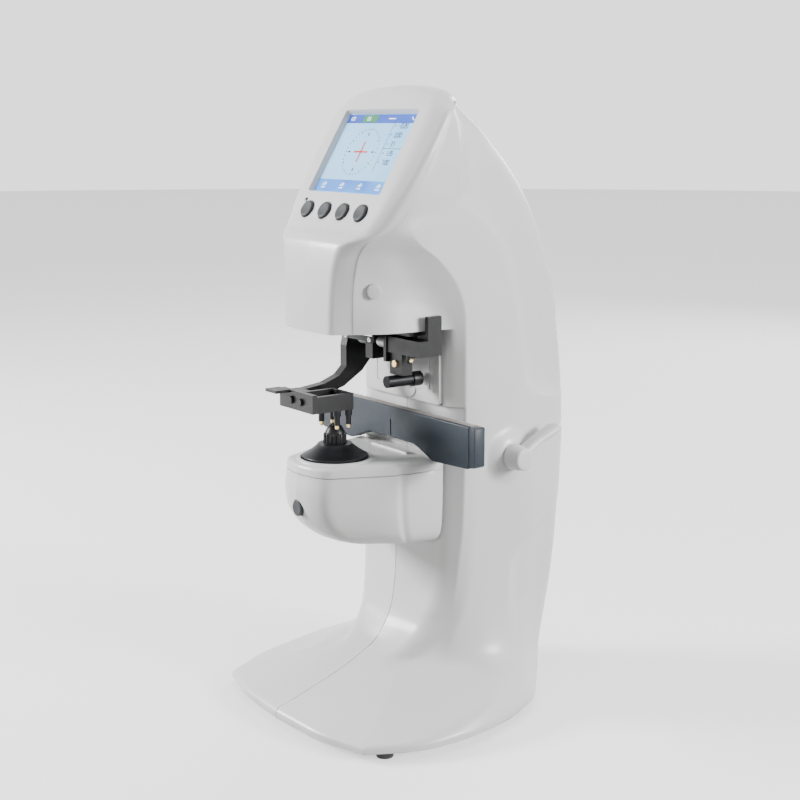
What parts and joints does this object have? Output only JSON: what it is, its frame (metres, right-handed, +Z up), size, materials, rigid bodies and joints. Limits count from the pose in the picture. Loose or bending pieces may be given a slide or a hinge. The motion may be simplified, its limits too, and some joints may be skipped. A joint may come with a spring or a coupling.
{
  "type": "automatic lensmeter",
  "caption": "Bench lensmeter: C-shaped housing with a tilted screen head over a nosepiece, pin lens holder, ink marker and a sliding lens table moved by a side lever.",
  "frame": {"origin": "on the table under the middle of the instrument's footprint", "axes": "+Z up, along the instrument's longest extent; the operator sits at -Y, +X is the operator's right, the side with the table lever"},
  "size_m": [0.2176, 0.2287, 0.4432],
  "materials": {
    "body_plastic": "fine-textured warm light grey moulding",
    "table_plastic": "satin dark blue-grey",
    "mechanism_black": "satin black",
    "black_plastic": "satin black",
    "key_rubber": "matte dark grey",
    "window": "clear cover over a lit screen",
    "lamp_lens": "green status lamp",
    "rule_trim": "brownish grey",
    "steel": "ground",
    "brass": "turned",
    "casting": "cast",
    "optic_glass": "coated",
    "board": "solder-masked",
    "foot_rubber": "matte",
    "zinc": "zinc-plated sheet"
  },
  "bodies": {
    "stand": {"left_shell": "body_plastic", "right_shell": "body_plastic", "rear_cover": "body_plastic", "head_panel": "body_plastic", "screw_caps": "body_plastic", "throat_cover": "body_plastic", "display_window": "window", "lcd_module": "black_plastic", "key_mat": "key_rubber", "key_board": "board", "status_lamp": "lamp_lens", "chin_housing": "body_plastic", "chin_cover": "body_plastic", "memory_key_board": "board", "nosepiece_skirt": "black_plastic", "nosepiece": "black_plastic", "optical_frame": "casting", "lamp_housing": "mechanism_black", "lamp": "optic_glass", "collimator_lens": "optic_glass", "sensor_tube": "mechanism_black", "objective_lens": "optic_glass", "grid_plate": "optic_glass", "sensor_board": "board", "rod_bushes": "brass", "shaft_bracket": "zinc", "shaft_bushes": "brass", "mechanism_bracket": "mechanism_black", "pivot_shaft": "steel", "main_board": "board", "power_supply": "board", "power_inlet": "black_plastic", "switch_housing": "black_plastic", "base_plate": "zinc", "rubber_feet": "foot_rubber"},
    "table": {"lens_table": "table_plastic", "table_rule": "rule_trim", "table_rods": "steel", "rod_yoke": "casting", "table_rack": "steel"},
    "lever": {"side_lever": "body_plastic", "lever_shaft": "steel", "drive_pinion": "brass"},
    "holder": {"holder_arm": "mechanism_black", "finger_tab": "mechanism_black", "pin_frame": "mechanism_black", "lens_pins": "black_plastic", "pin_tips": "brass", "holder_screws": "mechanism_black"},
    "marker": {"marking_lever": "mechanism_black", "marker_carriage": "mechanism_black", "ink_cartridge": "black_plastic", "marker_knob": "mechanism_black", "marker_screw": "brass"},
    "key_1": {"menu_key_1": "key_rubber"},
    "key_2": {"menu_key_2": "key_rubber"},
    "key_3": {"menu_key_3": "key_rubber"},
    "key_4": {"menu_key_4": "key_rubber"},
    "memory": {"memory_key": "key_rubber"},
    "power": {"power_rocker": "black_plastic"}
  },
  "joints": [
    {"name": "table_slide", "type": "slide", "parent": "stand", "child": "table", "axis": [0, -1, 0], "range_m": [0, 0.03]},
    {"name": "lever_turn", "type": "hinge", "parent": "stand", "child": "lever", "pos_m": [0, 0.047, 0.1856], "axis": [1, 0, 0], "range_deg": [0, 95.6]},
    {"name": "holder_lift", "type": "hinge", "parent": "stand", "child": "holder", "pos_m": [0, -0.0243, 0.2675], "axis": [-1, 0, 0], "range_deg": [0, 28], "stiffness_Nm_per_rad": 0.12, "springref_deg": -28.65},
    {"name": "marker_swing", "type": "hinge", "parent": "stand", "child": "marker", "pos_m": [0, -0.0243, 0.2675], "axis": [-1, 0, 0], "range_deg": [0, 38], "stiffness_Nm_per_rad": 0.12, "springref_deg": -28.65},
    {"name": "menu_key_1_press", "type": "slide", "parent": "stand", "child": "key_1", "axis": [0, 0.8572, -0.515], "range_m": [0, 0.0012], "stiffness_N_per_m": 600, "springref_m": -0.0006},
    {"name": "menu_key_2_press", "type": "slide", "parent": "stand", "child": "key_2", "axis": [0, 0.8572, -0.515], "range_m": [0, 0.0012], "stiffness_N_per_m": 600, "springref_m": -0.0006},
    {"name": "menu_key_3_press", "type": "slide", "parent": "stand", "child": "key_3", "axis": [0, 0.8572, -0.515], "range_m": [0, 0.0012], "stiffness_N_per_m": 600, "springref_m": -0.0006},
    {"name": "menu_key_4_press", "type": "slide", "parent": "stand", "child": "key_4", "axis": [0, 0.8572, -0.515], "range_m": [0, 0.0012], "stiffness_N_per_m": 600, "springref_m": -0.0006},
    {"name": "memory_key_press", "type": "slide", "parent": "stand", "child": "memory", "axis": [0, 1, 0], "range_m": [0, 0.0012], "stiffness_N_per_m": 600, "springref_m": -0.0006},
    {"name": "power_rocker_tilt", "type": "hinge", "parent": "stand", "child": "power", "pos_m": [0.022, 0.1042, 0.062], "axis": [1, 0, 0], "range_deg": [0, 12]}
  ],
  "couplings": [
    {"joint": "lever_turn", "follows": "table_slide", "rad_per_m": 55.556}
  ]
}
